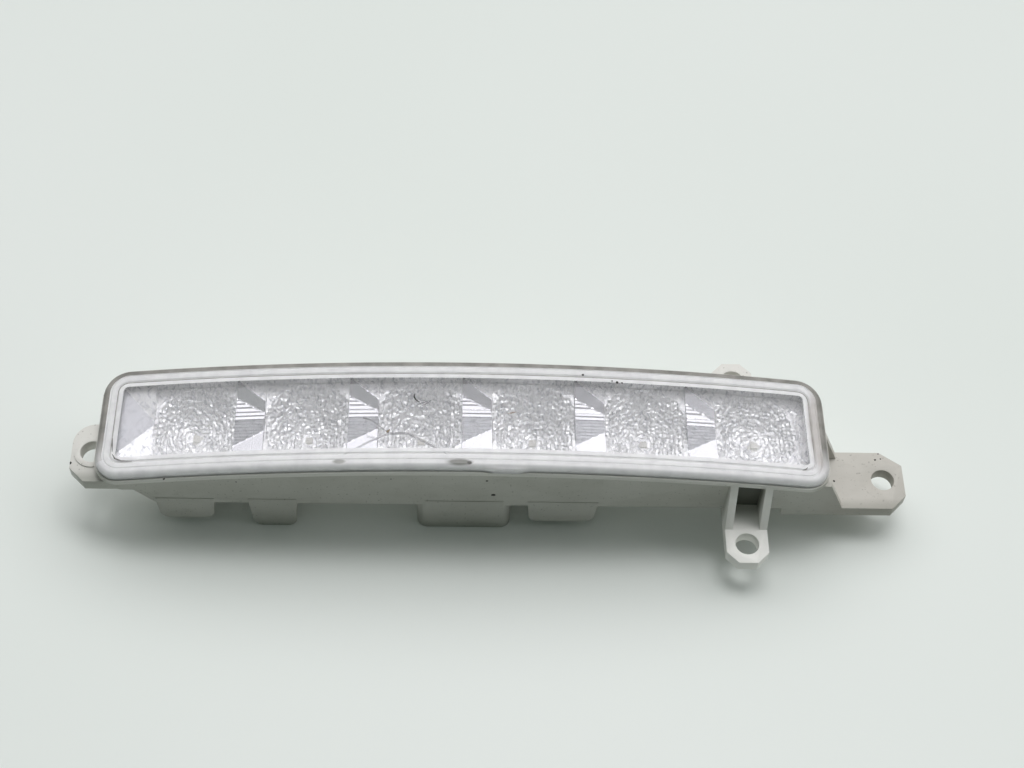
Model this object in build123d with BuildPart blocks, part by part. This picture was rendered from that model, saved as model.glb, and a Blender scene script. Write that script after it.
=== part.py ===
"""Daytime running light: a bowed clear lens over a six-cup reflector in a grey moulded housing.

Millimetres. The lamp lies on its back: X along the lamp, Y towards its upper side, Z out of the lens.
"""

import os
from math import sqrt

from build123d import *

os.makedirs("parts", exist_ok=True)

# Lens: a clear moulding, bowed along the lamp, with a leg all round that enters the housing
lens_length = 198.2
lens_height = 33.8
lens_corner = 7.0
lens_thickness = 2.5
bow_radius = 640.0
rim_bevel = 1.0
leg_inset = 2.0
leg_width = 1.4
leg_depth = 2.5
gate_x = 11.5
gate_width = 10.0
gate_depth = 0.6

# Housing: a moulded tub with a flange round its mouth
flange_reach = 0.5
flange_depth = 1.5
flange_overhang = 1.6
wall = 2.2
wall_draft = 1.0
body_depth = 23.0
end_lean = 2.4
sealant_depth = 0.8
fit_gap = 0.2

# Rear pockets, each from one x to another behind the rear face
foot_depth = 12.0
pocket_depth = 8.2
pocket_lean = 0.8
pocket_round = 3.0
pocket_near_y = -15.6
foot_far_y = 12.0
pocket_far_y = 5.8
end_pocket_x = (-84.2, -68.3)
foot_x = (-59.0, -45.8)
driver_pocket_x = (17.4, 36.8)

# Plug socket: an open shroud behind the rear face
socket_width = 26.0
socket_height = 18.6
socket_wall = 1.8
socket_corner = 3.0
latch_width = 7.0
latch_length = 5.0
latch_rise = 1.6

# Fixing ears
bore_radius = 3.25
ear_thickness = 3.8
rib = 2.1
ear_y = (-15.3, 2.8)
ear_bore_y = -6.1
left_reach = 106.5
left_bore_edge = 5.6
left_ear_drop = 12.7
left_ear_corner = 6.0
left_slope_run = 5.0
left_slope_x = -84.4
pad_radius = 4.8
pad_rise = 0.3
right_reach = 123.0
right_bore_edge = 5.9
right_rib_foot_x = 104.6
right_plate_x = 88.0
ear_chamfer = 4.2
ear_long_chamfer = 6.0
cross_ear_x = 77.3
cross_ear_width = 11.6
cross_ear_reach = 32.6
cross_bore_edge = 5.8
cross_rib_foot_edge = 10.2
cross_chamfer = 3.2
channel_recess = 1.2
ear_overlap = 0.3

# Reflector: one metallised moulding with six parabolic cups
frame_gap = 0.3
frame_wall_x = 1.5
frame_wall_y = 0.7
frame_depth = 2.4
web_thickness = 1.2
cup_count = 6
cup_pitch = 30.7
cup_centre_x = 3.3
cup_radius = 11.8
cup_wall = 1.3
cup_lift = 0.3
cup_vertex_lift = 0.9
cup_base_radius = 6.0
cup_sides = 16
cup_ring_radii = (3.0, 5.6, 8.6)
upper_ramp_rise = 2.2
upper_ramp_y = 4.6
lower_ramp_rise = 1.7
lower_ramp_y = -5.0
end_ramp_rise = 2.3
end_ramp_run = 8.6
ridge_count = 3
ridge_centre_y = 2.2
ridge_pitch = 1.7
ridge_height = 0.5
foot_leg_width = 4.0
foot_leg_y = 10.0
peg_radius = 1.0

# Light board and what is soldered to it
post_height = 2.0
post_width = 5.0
board_thickness = 1.6
board_x = (-82.0, 92.0)
board_height = 22.0
board_corner = 2.0
hole_gap = 0.1
led_base = 3.5
led_base_height = 0.7
phosphor_width = 1.8
phosphor_height = 0.4
pin_pitch = 5.0
pin_width = 1.5
pin_thickness = 0.8
pin_reach = 7.0
pin_stub = 0.6
header_width = 16.0
header_depth = 5.0
post_x = (-63.5, 66.3)
post_y = 8.0
screw_radius = 1.1
screw_length = 4.4
screw_head_radius = 2.2
screw_head_height = 1.5
skin = 0.8
chip_size = (4.9, 3.9, 1.6)
inductor_size = (6.6, 6.6, 4.5)
diode_size = (4.3, 2.6, 1.7)
resistor_size = (3.2, 1.6, 0.6)
resistor_count = 3
resistor_pitch = 4.0
capacitor_base = (5.3, 5.3, 1.0)
capacitor_radius = 2.5
capacitor_height = 5.8
part_gap = 1.0

# Vent
vent_x = -30.0
vent_y = 2.0
vent_radius = 6.5
vent_hole_radius = 2.0
vent_depth = 0.6
vent_thickness = 0.5

# Heights and outlines that follow from those sizes
rear_z = foot_depth
crest_z = rear_z + body_depth
ear_z = rear_z + ear_overlap
left_ear_z = crest_z - left_ear_drop
left_bore_x = left_bore_edge - left_reach
right_bore_x = right_reach - right_bore_edge
cross_bore_y = cross_ear_reach - cross_bore_edge
cross_rib_foot_y = cross_ear_reach - cross_rib_foot_edge
rib_root_y = pocket_near_y + rib
board_back_z = rear_z + wall + post_height
board_front_z = board_back_z + board_thickness
lens_centre_x = (left_reach - right_reach) / 2
ledge_drop = lens_thickness + leg_depth + sealant_depth
frame_drop = lens_thickness + frame_gap
web_drop = frame_drop + frame_depth
socket_y = pocket_near_y + socket_height / 2
cup_xs = [cup_centre_x + (i - (cup_count - 1) / 2) * cup_pitch for i in range(cup_count)]
web_xs = [(a + b) / 2 for a, b in zip(cup_xs, cup_xs[1:])]
pin_xs = [-pin_pitch, 0, pin_pitch]
posts = [(x, y) for x in post_x for y in (-post_y, post_y)]
screws = [posts[0], posts[-1]]
foot_legs = [(x, y) for x in (web_xs[1], web_xs[-2]) for y in (-foot_leg_y, foot_leg_y)]
pegs = [foot_legs[0], foot_legs[-1]]


def inset(outline, amount):
    """A rounded rectangle's length, height and corner radius, taken in all round."""
    length, height, corner = outline
    return length - 2 * amount, height - 2 * amount, corner - amount


lens_outline = (lens_length, lens_height, lens_corner)
flange_outline = inset(lens_outline, -flange_reach)
wall_outline = inset(flange_outline, flange_overhang)
leg_outline = inset(lens_outline, leg_inset)
leg_opening = inset(leg_outline, leg_width)
mouth_outline = inset(leg_outline, -fit_gap)
hollow_outline = inset(wall_outline, wall)
frame_outline = inset(leg_opening, frame_gap)
window_length = frame_outline[0] - 2 * frame_wall_x
window_height = frame_outline[1] - 2 * frame_wall_y
window = (window_length, window_height, frame_outline[2] - frame_wall_x)


def level(height):
    """Plane parallel to the rear face, with its origin on the lens centre."""
    return Plane((lens_centre_x, 0, height))


def side(y):
    """Upright plane along the lamp: its x runs along the lamp and its y up, and it faces the lower side."""
    return Plane((lens_centre_x, y, 0), x_dir=(1, 0, 0), z_dir=(0, -1, 0))


def across(x):
    """Upright plane across the lamp: its x runs to the upper side, its y up, and it faces the right end."""
    return Plane((lens_centre_x + x, 0, 0), x_dir=(0, 1, 0), z_dir=(1, 0, 0))


def bow_z(x, drop):
    """Height of the bowed surface that lies drop behind the lens rim, x along from the lens centre."""
    return crest_z - bow_radius + sqrt((bow_radius - drop) ** 2 - x**2)


def bow_arc(drop, half):
    """The line of that surface along the lamp, from -half to half."""
    end_z = bow_z(half, drop)
    return ThreePointArc((-half, end_z), (0, bow_z(0, drop)), (half, end_z))


def bowed(front, back, outline, opening=None):
    """A plate between two bowed surfaces, cut to a rounded rectangle, with an opening if one is given."""
    length, height, _ = outline
    with BuildPart() as plate:
        with BuildSketch(level(0)):
            RectangleRounded(*outline)
            if opening:
                RectangleRounded(*opening, mode=Mode.SUBTRACT)
        extrude(amount=2 * crest_z)
        with BuildSketch(side(0)):
            with BuildLine():
                upper = bow_arc(front, length)
                lower = bow_arc(back, length)
                Line(upper @ 0, lower @ 0)
                Line(upper @ 1, lower @ 1)
            make_face()
        extrude(amount=height, both=True, mode=Mode.INTERSECT)
    return plate.part


# Outer lens
lens_plate = bowed(0, lens_thickness, lens_outline)
lens_leg = bowed(lens_thickness / 2, lens_thickness + leg_depth, leg_outline, leg_opening)

with BuildPart() as outer_lens:
    add(lens_plate)
    chamfer(outer_lens.faces().sort_by(Axis.Z)[-1].edges(), rim_bevel)
    add(lens_leg)
    gate_z = bow_z(gate_x, lens_thickness * 3 / 4)
    with BuildSketch(level(gate_z)):
        with Locations((gate_x, -lens_height / 2)):
            Rectangle(gate_width, 2 * gate_depth)
    extrude(amount=lens_thickness / 2)

# Sealant: a bead between the lens leg and the ledge in the housing's mouth
with BuildPart() as lens_sealant:
    add(bowed(lens_thickness + leg_depth, ledge_drop, mouth_outline, hollow_outline))


# Housing
def tub(taken_in):
    """The tub's block: its outside, or with one wall taken in its hollow."""
    length, height, corner = inset(wall_outline, taken_in)
    half = wall_outline[0] / 2
    left_foot_z = left_ear_z - ear_thickness
    right_foot_z = bow_z(half, web_drop + web_thickness) - frame_gap - wall
    with BuildPart() as block:
        with BuildSketch(level(crest_z)):
            RectangleRounded(length, height, corner)
        extrude(amount=-body_depth, taper=wall_draft)
        with BuildSketch(side(0)):
            with BuildLine():
                front = bow_arc(lens_thickness, half)
                Polyline(
                    front @ 0,
                    (-half, left_foot_z),
                    (left_slope_x - left_slope_run, left_foot_z),
                    (left_slope_x, rear_z),
                    (half - end_lean, rear_z),
                    (half, right_foot_z),
                    front @ 1,
                )
            make_face()
            if taken_in:
                offset(amount=-taken_in, mode=Mode.REPLACE)
        extrude(amount=height, both=True, mode=Mode.INTERSECT)
    return block.part


def pocket(xs, far_y, depth, corner, taken_in=0):
    """A box moulded out behind the rear face, round at its foot, or with a wall taken in its hollow."""
    left, right = xs[0] + taken_in, xs[1] - taken_in
    foot = rear_z - depth + taken_in
    top = rear_z + wall
    with BuildPart() as box:
        with BuildSketch(side(far_y - taken_in)) as profile:
            with BuildLine():
                Polyline(
                    (left, top),
                    (left + pocket_lean, foot),
                    (right - pocket_lean, foot),
                    (right, top),
                    close=True,
                )
            make_face()
            fillet(profile.vertices().group_by(Axis.Y)[0], corner)
        extrude(amount=far_y - pocket_near_y - 2 * taken_in)
    return box.part


def cross_ear():
    """The lower ear: a holed plate behind the housing, carried on two sloping ribs."""
    half = cross_ear_width / 2
    flange_z = bow_z(cross_ear_x, lens_thickness + flange_depth / 2)
    with BuildPart() as ear:
        with BuildSketch(level(ear_z)) as outline:
            with BuildLine():
                Polyline(
                    (cross_ear_x - half, rib_root_y),
                    (cross_ear_x - half, -cross_ear_reach),
                    (cross_ear_x + half, -cross_ear_reach),
                    (cross_ear_x + half, rib_root_y),
                    close=True,
                )
            make_face()
            chamfer(outline.vertices().group_by(Axis.Y)[0], cross_chamfer)
        extrude(amount=-ear_thickness)
        for rib_x in (cross_ear_x - half, cross_ear_x + half - rib):
            with BuildSketch(across(rib_x)):
                with BuildLine():
                    Polyline(
                        (-flange_outline[1] / 2, flange_z),
                        (-cross_rib_foot_y, ear_z),
                        (-cross_rib_foot_y, ear_z - ear_thickness),
                        (rib_root_y, ear_z - ear_thickness),
                        (rib_root_y, flange_z),
                        close=True,
                    )
                make_face()
            extrude(amount=rib)
    return ear.part


tub_block = tub(0)
tub_hollow = tub(wall)
flange = bowed(lens_thickness, lens_thickness + flange_depth, flange_outline)
mouth = bowed(-lens_thickness, ledge_drop, mouth_outline)
lower_ear = cross_ear()
pockets = [
    (end_pocket_x, pocket_far_y, pocket_depth, pocket_round),
    (foot_x, foot_far_y, foot_depth, pocket_round),
    (driver_pocket_x, pocket_far_y, pocket_depth, pocket_round),
]
pocket_blocks = [pocket(*sizes) for sizes in pockets]
pocket_hollows = [pocket(*sizes[:3], pocket_round - socket_wall, taken_in=socket_wall) for sizes in pockets]

with BuildPart() as housing:
    add(tub_block)
    add(flange)
    add(pocket_blocks)

    # Plug shroud with the latch ramp on its upper side
    with BuildSketch(level(0)):
        with Locations((0, socket_y)):
            RectangleRounded(socket_width, socket_height, socket_corner)
    extrude(amount=rear_z + wall)
    with BuildSketch(across(-latch_width / 2)):
        with BuildLine():
            latch_y = socket_y + socket_height / 2
            Polyline(
                (latch_y - socket_wall / 2, latch_rise),
                (latch_y, latch_rise),
                (latch_y + latch_rise, latch_rise + latch_length),
                (latch_y - socket_wall / 2, latch_rise + latch_length),
                close=True,
            )
        make_face()
    extrude(amount=latch_width)

    # Right ear on two ribs
    with BuildSketch(level(ear_z)) as right_plate:
        with BuildLine():
            Polyline(
                (right_plate_x, ear_y[0]),
                (right_reach - ear_chamfer, ear_y[0]),
                (right_reach, ear_y[0] + ear_chamfer),
                (right_reach, ear_y[1] - ear_chamfer),
                (right_reach - ear_long_chamfer, ear_y[1]),
                (right_plate_x, ear_y[1]),
                close=True,
            )
        make_face()
    extrude(amount=-ear_thickness)
    flange_end = flange_outline[0] / 2
    flange_end_z = bow_z(flange_end, lens_thickness + flange_depth / 2)
    for rib_y in (ear_y[0] + rib, ear_y[1]):
        with BuildSketch(side(rib_y)):
            with BuildLine():
                Polyline(
                    (right_plate_x, ear_z),
                    (right_rib_foot_x, ear_z),
                    (flange_end, flange_end_z),
                    (right_plate_x, flange_end_z),
                    close=True,
                )
            make_face()
        extrude(amount=rib)

    # Left ear, nearer the lens than the others
    with BuildSketch(level(left_ear_z)):
        with BuildLine():
            Polyline(
                (left_slope_x - left_slope_run, ear_y[0]),
                (-left_reach + ear_chamfer, ear_y[0]),
                (-left_reach, ear_y[0] + ear_chamfer),
                (-left_reach, ear_y[1] - left_ear_corner),
            )
            round_start = (-left_reach, ear_y[1] - left_ear_corner)
            round_end = (-left_reach + left_ear_corner, ear_y[1])
            RadiusArc(round_start, round_end, left_ear_corner)
            Polyline(
                round_end,
                (left_slope_x - left_slope_run, ear_y[1]),
                (left_slope_x - left_slope_run, ear_y[0]),
            )
        make_face()
    extrude(amount=-ear_thickness)

    with BuildSketch(level(left_ear_z)):
        with Locations((left_bore_x, ear_bore_y)):
            Circle(pad_radius)
    extrude(amount=pad_rise)

    # Upper and lower ears
    add(lower_ear)
    mirror(lower_ear, about=Plane.XZ)

    # Hollows
    add(tub_hollow, mode=Mode.SUBTRACT)
    add(mouth, mode=Mode.SUBTRACT)
    add(pocket_hollows, mode=Mode.SUBTRACT)
    with BuildSketch(level(0)):
        with Locations((0, socket_y)):
            RectangleRounded(*inset((socket_width, socket_height, socket_corner), socket_wall))
    extrude(amount=rear_z, mode=Mode.SUBTRACT)
    with BuildSketch(level(rear_z)):
        for pin_x in pin_xs:
            with Locations((pin_x, socket_y)):
                Rectangle(pin_width + 2 * hole_gap, pin_thickness + 2 * hole_gap)
    extrude(amount=wall, mode=Mode.SUBTRACT)
    with BuildSketch(level(rear_z)):
        with Locations((vent_x, vent_y)):
            Circle(vent_radius)
    extrude(amount=vent_depth, mode=Mode.SUBTRACT)
    with BuildSketch(level(rear_z)):
        with Locations((vent_x, vent_y)):
            Circle(vent_hole_radius)
    extrude(amount=wall, mode=Mode.SUBTRACT)

    # Channels between the ribs of the upper and lower ears
    channel_top = bow_z(cross_ear_x + cross_ear_width / 2, lens_thickness + flange_depth)
    with BuildSketch(level(ear_z)):
        with Locations((cross_ear_x, wall_outline[1] / 2), (cross_ear_x, -wall_outline[1] / 2)):
            Rectangle(cross_ear_width - 2 * rib, 2 * channel_recess)
    extrude(amount=channel_top - ear_z, mode=Mode.SUBTRACT)

    # Fixing bores
    with BuildSketch(level(ear_z)):
        with Locations((right_bore_x, ear_bore_y)):
            Circle(bore_radius)
        with Locations((cross_ear_x, cross_bore_y), (cross_ear_x, -cross_bore_y)):
            Circle(bore_radius)
    extrude(amount=-ear_thickness, mode=Mode.SUBTRACT)
    with BuildSketch(level(left_ear_z + pad_rise)):
        with Locations((left_bore_x, ear_bore_y)):
            Circle(bore_radius)
    extrude(amount=-ear_thickness - pad_rise, mode=Mode.SUBTRACT)

    # Posts for the light board, two of them with a blind pilot hole
    with BuildSketch(level(rear_z + wall / 2)):
        with Locations(posts):
            Rectangle(post_width, post_width)
    extrude(amount=board_back_z - rear_z - wall / 2)
    with BuildSketch(level(rear_z + skin)):
        with Locations(screws):
            Circle(screw_radius + hole_gap / 2)
    extrude(amount=board_back_z - rear_z - skin, mode=Mode.SUBTRACT)

# Reflector
cup_rim_zs = [bow_z(x, web_drop) for x in cup_xs]
cup_vertex_z = board_front_z + cup_vertex_lift
cup_base_z = board_front_z + cup_lift
frame = bowed(frame_drop, web_drop + web_thickness, frame_outline, window)
web_plate = bowed(web_drop, web_drop + web_thickness, frame_outline)
under_web = bowed(web_drop, body_depth, frame_outline)
under_frame = bowed(frame_drop, body_depth, frame_outline)


def faceted(x, profile):
    """A body of flat facets round a cup's axis, given the right half of its profile as radii and heights."""
    upright = Plane((lens_centre_x + x, 0, 0), x_dir=(1, 0, 0), z_dir=(0, -1, 0))
    with BuildPart() as body:
        for turn in range(cup_sides // 2):
            with BuildSketch(upright.rotated((0, 0, 360 * turn / cup_sides))):
                with BuildLine():
                    Polyline(*profile, *[(-r, z) for r, z in reversed(profile)], close=True)
                make_face()
            extrude(amount=cup_pitch, both=True, mode=Mode.INTERSECT if turn else Mode.ADD)
    return body.part


# Each cup is a bowl of facets in rings that follow a parabola, with a hole for its diode at the bottom
with BuildPart() as cup_hollows:
    for cup_x, rim_z in zip(cup_xs, cup_rim_zs):
        rim_depth = rim_z - cup_vertex_z
        top_radius = cup_radius * sqrt((rim_depth + 2 * frame_depth) / rim_depth)
        radii = (*cup_ring_radii, cup_radius, top_radius)
        rings = [(r, cup_vertex_z + rim_depth * (r / cup_radius) ** 2) for r in radii]
        add(faceted(cup_x, [(radii[0], board_front_z), *rings]))
    with BuildSketch(level(0)):
        RectangleRounded(*window)
    extrude(amount=2 * crest_z, mode=Mode.INTERSECT)

with BuildPart() as cups:
    for cup_x, rim_z in zip(cup_xs, cup_rim_zs):
        add(faceted(cup_x, [(cup_base_radius, cup_base_z), (cup_radius + cup_wall, rim_z + frame_depth)]))
    add(under_web, mode=Mode.INTERSECT)

# Ramps and ridges on the webs between the cups, and the sloping panel at the left end of the window
with BuildPart() as facets:
    window_half = window[1] / 2
    for web_x in web_xs:
        web_z = bow_z(web_x, web_drop)
        root_z = web_z - web_thickness / 2
        with BuildSketch(across(web_x - cup_pitch / 3)):
            with BuildLine():
                ramp_top = (window_half, web_z + upper_ramp_rise)
                Polyline(ramp_top, (upper_ramp_y, root_z), (window_half, root_z), close=True)
            make_face()
            with BuildLine():
                ramp_top = (-window_half, web_z + lower_ramp_rise)
                Polyline(ramp_top, (lower_ramp_y, root_z), (-window_half, root_z), close=True)
            make_face()
            for i in range(ridge_count):
                ridge_y = ridge_centre_y + (i - (ridge_count - 1) / 2) * ridge_pitch
                with BuildLine():
                    Polyline(
                        (ridge_y - ridge_pitch / 2, root_z),
                        (ridge_y, web_z + ridge_height),
                        (ridge_y + ridge_pitch / 2, root_z),
                        close=True,
                    )
                make_face()
        extrude(amount=2 * cup_pitch / 3)

    end_x = -window[0] / 2
    end_z = bow_z(end_x + end_ramp_run, web_drop)
    with BuildSketch(side(window_half)):
        with BuildLine():
            Polyline(
                (end_x, end_z + end_ramp_rise),
                (end_x + end_ramp_run, end_z),
                (end_x + end_ramp_run, end_z - web_thickness / 2),
                (end_x, end_z - web_thickness / 2),
                close=True,
            )
        make_face()
    extrude(amount=window[1])
    add(under_frame, mode=Mode.INTERSECT)

with BuildPart() as reflector:
    add(frame)
    add(web_plate)
    add(cups.part)
    add(facets.part)

    # Legs that stand on the light board, two of them with a peg that enters its hole
    with BuildSketch(level(board_front_z)):
        with Locations(foot_legs):
            Rectangle(foot_leg_width, foot_leg_width)
    extrude(amount=bow_z(web_xs[-2], web_drop + web_thickness / 2) - board_front_z)
    with BuildSketch(level(board_back_z)):
        with Locations(pegs):
            Circle(peg_radius)
    extrude(amount=board_thickness)

    add(cup_hollows.part, mode=Mode.SUBTRACT)

# Light board
with BuildPart() as led_board:
    with BuildSketch(level(board_back_z)):
        with Locations(((board_x[0] + board_x[1]) / 2, 0)):
            RectangleRounded(board_x[1] - board_x[0], board_height, board_corner)
        with Locations(screws):
            Circle(screw_radius + hole_gap, mode=Mode.SUBTRACT)
        with Locations(pegs):
            Circle(peg_radius + hole_gap, mode=Mode.SUBTRACT)
        with Locations([(x, socket_y) for x in pin_xs]):
            Rectangle(pin_width + 2 * hole_gap, pin_thickness + 2 * hole_gap, mode=Mode.SUBTRACT)
    extrude(amount=board_thickness)

# Light-emitting diodes
leds = []
for cup_x in cup_xs:
    with BuildPart() as led:
        with BuildSketch(level(board_front_z)):
            with Locations((cup_x, 0)):
                Rectangle(led_base, led_base)
        extrude(amount=led_base_height)
        with BuildSketch(level(board_front_z + led_base_height)):
            with Locations((cup_x, 0)):
                Rectangle(phosphor_width, phosphor_width)
        extrude(amount=phosphor_height)
    leds.append(led)

# Plug contacts and the header that carries them
with BuildPart() as pin_header:
    with BuildSketch(level(rear_z + wall)):
        with Locations((0, socket_y)):
            Rectangle(header_width, header_depth)
        with Locations([(x, socket_y) for x in pin_xs]):
            Rectangle(pin_width, pin_thickness, mode=Mode.SUBTRACT)
    extrude(amount=post_height)

pins = []
for pin_x in pin_xs:
    with BuildPart() as pin:
        with BuildSketch(level(rear_z - pin_reach)):
            with Locations((pin_x, socket_y)):
                Rectangle(pin_width, pin_thickness)
        extrude(amount=board_front_z + pin_stub - rear_z + pin_reach)
        chamfer(pin.faces().sort_by(Axis.Z)[0].edges().filter_by(Axis.X), pin_thickness / 4)
    pins.append(pin)


# Driver parts soldered to the back of the board, the tall ones over the driver pocket
driver_x = (driver_pocket_x[0] + driver_pocket_x[1]) / 2
driver_y = socket_y
small_y = driver_y + inductor_size[1] / 2 + part_gap + chip_size[1] / 2
inductor_x = driver_x - (capacitor_base[0] + part_gap) / 2
capacitor_x = driver_x + (inductor_size[0] + part_gap) / 2
resistor_x = driver_pocket_x[1] + part_gap + resistor_size[0]


def on_back(places, size):
    """Blocks of one size on the back of the light board."""
    with BuildPart() as blocks:
        with BuildSketch(level(board_back_z)):
            with Locations(places):
                Rectangle(size[0], size[1])
        extrude(amount=-size[2])
    return blocks


power_inductor = on_back((inductor_x, driver_y), inductor_size)
driver_chip = on_back((inductor_x, small_y), chip_size)
reverse_diode = on_back((capacitor_x, small_y), diode_size)
surge_diode = on_back((-socket_width / 2 - diode_size[0], driver_y), diode_size)
resistor_ys = [(i - (resistor_count - 1) / 2) * resistor_pitch for i in range(resistor_count)]
sense_resistors = on_back([(resistor_x, y) for y in resistor_ys], resistor_size)

with BuildPart() as input_capacitor:
    with BuildSketch(level(board_back_z)):
        with Locations((capacitor_x, driver_y)):
            Rectangle(capacitor_base[0], capacitor_base[1])
    extrude(amount=-capacitor_base[2])
    with BuildSketch(level(board_back_z - capacitor_base[2])):
        with Locations((capacitor_x, driver_y)):
            Circle(capacitor_radius)
    extrude(amount=-capacitor_height)

# Screws that hold the board
with BuildPart() as board_screws:
    with BuildSketch(level(board_front_z)):
        with Locations(screws):
            Circle(screw_head_radius)
    extrude(amount=screw_head_height)
    with BuildSketch(level(board_front_z)):
        with Locations(screws):
            Circle(screw_radius)
    extrude(amount=-screw_length)

# Breathing patch in its shallow seat
with BuildPart() as vent_membrane:
    with BuildSketch(level(rear_z + vent_depth)):
        with Locations((vent_x, vent_y)):
            Circle(vent_radius - fit_gap)
    extrude(amount=-vent_thickness)

pieces = {
    "housing": housing,
    "outer_lens": outer_lens,
    "lens_sealant": lens_sealant,
    "reflector": reflector,
    "led_board": led_board,
    "led_1": leds[0],
    "led_2": leds[1],
    "led_3": leds[2],
    "led_4": leds[3],
    "led_5": leds[4],
    "led_6": leds[5],
    "pin_header": pin_header,
    "supply_pin": pins[0],
    "dimming_pin": pins[1],
    "ground_pin": pins[2],
    "driver_chip": driver_chip,
    "power_inductor": power_inductor,
    "input_capacitor": input_capacitor,
    "reverse_diode": reverse_diode,
    "surge_diode": surge_diode,
    "sense_resistors": sense_resistors,
    "board_screws": board_screws,
    "vent_membrane": vent_membrane,
}
for name, piece in pieces.items():
    piece.part.label = name
    export_step(piece.part, f"parts/{name}.step")
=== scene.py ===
import math
import random

import bmesh
import bpy
import numpy as np
from mathutils import Matrix, Vector
from mathutils.bvhtree import BVHTree


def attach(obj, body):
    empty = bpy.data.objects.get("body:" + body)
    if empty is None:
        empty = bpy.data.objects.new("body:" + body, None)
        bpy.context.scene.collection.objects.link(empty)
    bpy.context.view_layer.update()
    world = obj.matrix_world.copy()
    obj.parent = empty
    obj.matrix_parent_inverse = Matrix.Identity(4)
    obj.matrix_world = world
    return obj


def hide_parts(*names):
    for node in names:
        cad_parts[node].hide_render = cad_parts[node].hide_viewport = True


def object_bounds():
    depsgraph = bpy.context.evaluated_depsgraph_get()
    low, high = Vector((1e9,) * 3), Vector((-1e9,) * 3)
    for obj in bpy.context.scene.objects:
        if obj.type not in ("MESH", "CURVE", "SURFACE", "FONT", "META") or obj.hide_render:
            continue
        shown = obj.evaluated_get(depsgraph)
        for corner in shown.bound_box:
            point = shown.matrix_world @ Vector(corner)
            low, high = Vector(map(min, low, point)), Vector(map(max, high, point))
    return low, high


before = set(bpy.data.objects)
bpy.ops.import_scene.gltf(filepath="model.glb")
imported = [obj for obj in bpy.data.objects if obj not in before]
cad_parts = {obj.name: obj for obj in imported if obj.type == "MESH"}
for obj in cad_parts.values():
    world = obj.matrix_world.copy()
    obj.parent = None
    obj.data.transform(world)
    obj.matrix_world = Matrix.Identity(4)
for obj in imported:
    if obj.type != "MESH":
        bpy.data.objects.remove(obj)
cad_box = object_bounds()

# Housing: one grey ABS moulding, with a tub behind the lens, four fixing ears, rear pockets and the plug
# shroud. It is moulded in one shot with a fine eroded texture, so its edges are slightly round and its faces
# matt. Its colour carries painted shade: near black in the channel of the lower ear, and darker over the near
# side.
MM = 0.001
housing_edge_round = 0.28 * MM
weld_gap = 0.002 * MM
flat_angle = math.radians(0.6)
sharp_angle = math.radians(28)
housing_pale = "#DCDAD5"
housing_worn = "#CECCC6"
housing_dirt = "#77756A"
dot_dark = "#3A382F"
channel_painted_shade = "#2B2C25"
near_side_painted_shade = "#878B7F"
end_soil = "#A8A197"
ear_painted_light = "#F4F3EF"
texture_grain = 0.55 * MM
texture_depth = 0.05 * MM
cloud_width = 14.0 * MM
rub_width = 3.0 * MM
dot_spacing = 0.75 * MM
channel_x = 69.05
channel_sides = (3.6, 3.8)
channel_mouth = (-15.5, -16.5)
channel_floor = (12.35, 12.6)


def linear(code):
    """An sRGB hex colour as linear red, green, blue and a full alpha."""
    parts = [int(code[i : i + 2], 16) / 255 for i in (1, 3, 5)]
    return (*[c / 12.92 if c <= 0.04045 else ((c + 0.055) / 1.055) ** 2.4 for c in parts], 1.0)


def put(tree, kind, inputs=None, stops=None, **settings):
    """Adds a node: an input is a value or an output socket, and stops are a ramp's places and colours."""
    made = tree.nodes.new("ShaderNode" + kind)
    for name, value in settings.items():
        setattr(made, name, value)
    for name, value in (inputs or {}).items():
        if isinstance(value, bpy.types.NodeSocket):
            tree.links.new(value, made.inputs[name])
        else:
            made.inputs[name].default_value = value
    for i, (place, code) in enumerate(stops or []):
        stop = made.color_ramp.elements[i] if i < 2 else made.color_ramp.elements.new(place)
        stop.position = place
        stop.color = linear(code)
    return made


def surface(name):
    """A new material, its node tree and its main shader."""
    material = bpy.data.materials.new(name)
    material.use_nodes = True
    return material, material.node_tree, material.node_tree.nodes["Principled BSDF"]


def build(name, points, faces):
    """A new mesh piece from points in metres and faces, with its normals turned outwards."""
    mesh = bpy.data.meshes.new(name)
    mesh.from_pydata(points, [], faces)
    form = bmesh.new()
    form.from_mesh(mesh)
    bmesh.ops.recalc_face_normals(form, faces=form.faces)
    form.to_mesh(mesh)
    form.free()
    piece = bpy.data.objects.new(name, mesh)
    bpy.context.scene.collection.objects.link(piece)
    return piece


def dress(piece, slot, *materials, parts=None, replaces=None):
    """Gives a piece its materials, face by face if asked, and its body, and hides the node it stands for; the
    slot is not used.
    """
    piece.data.materials.clear()
    for material in materials:
        piece.data.materials.append(material)
    if parts:
        piece.data.polygons.foreach_set("material_index", parts)
    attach(piece, "root")
    if replaces:
        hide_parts(replaces)


def smooth_by_angle(mesh, degrees):
    """Smooth shading over the mesh, with edges kept sharp where faces turn by more than this."""
    form = bmesh.new()
    form.from_mesh(mesh)
    for face in form.faces:
        face.smooth = True
    for edge in form.edges:
        edge.smooth = len(edge.link_faces) == 2 and edge.calc_face_angle(0) < math.radians(degrees)
    form.to_mesh(mesh)
    form.free()


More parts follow.
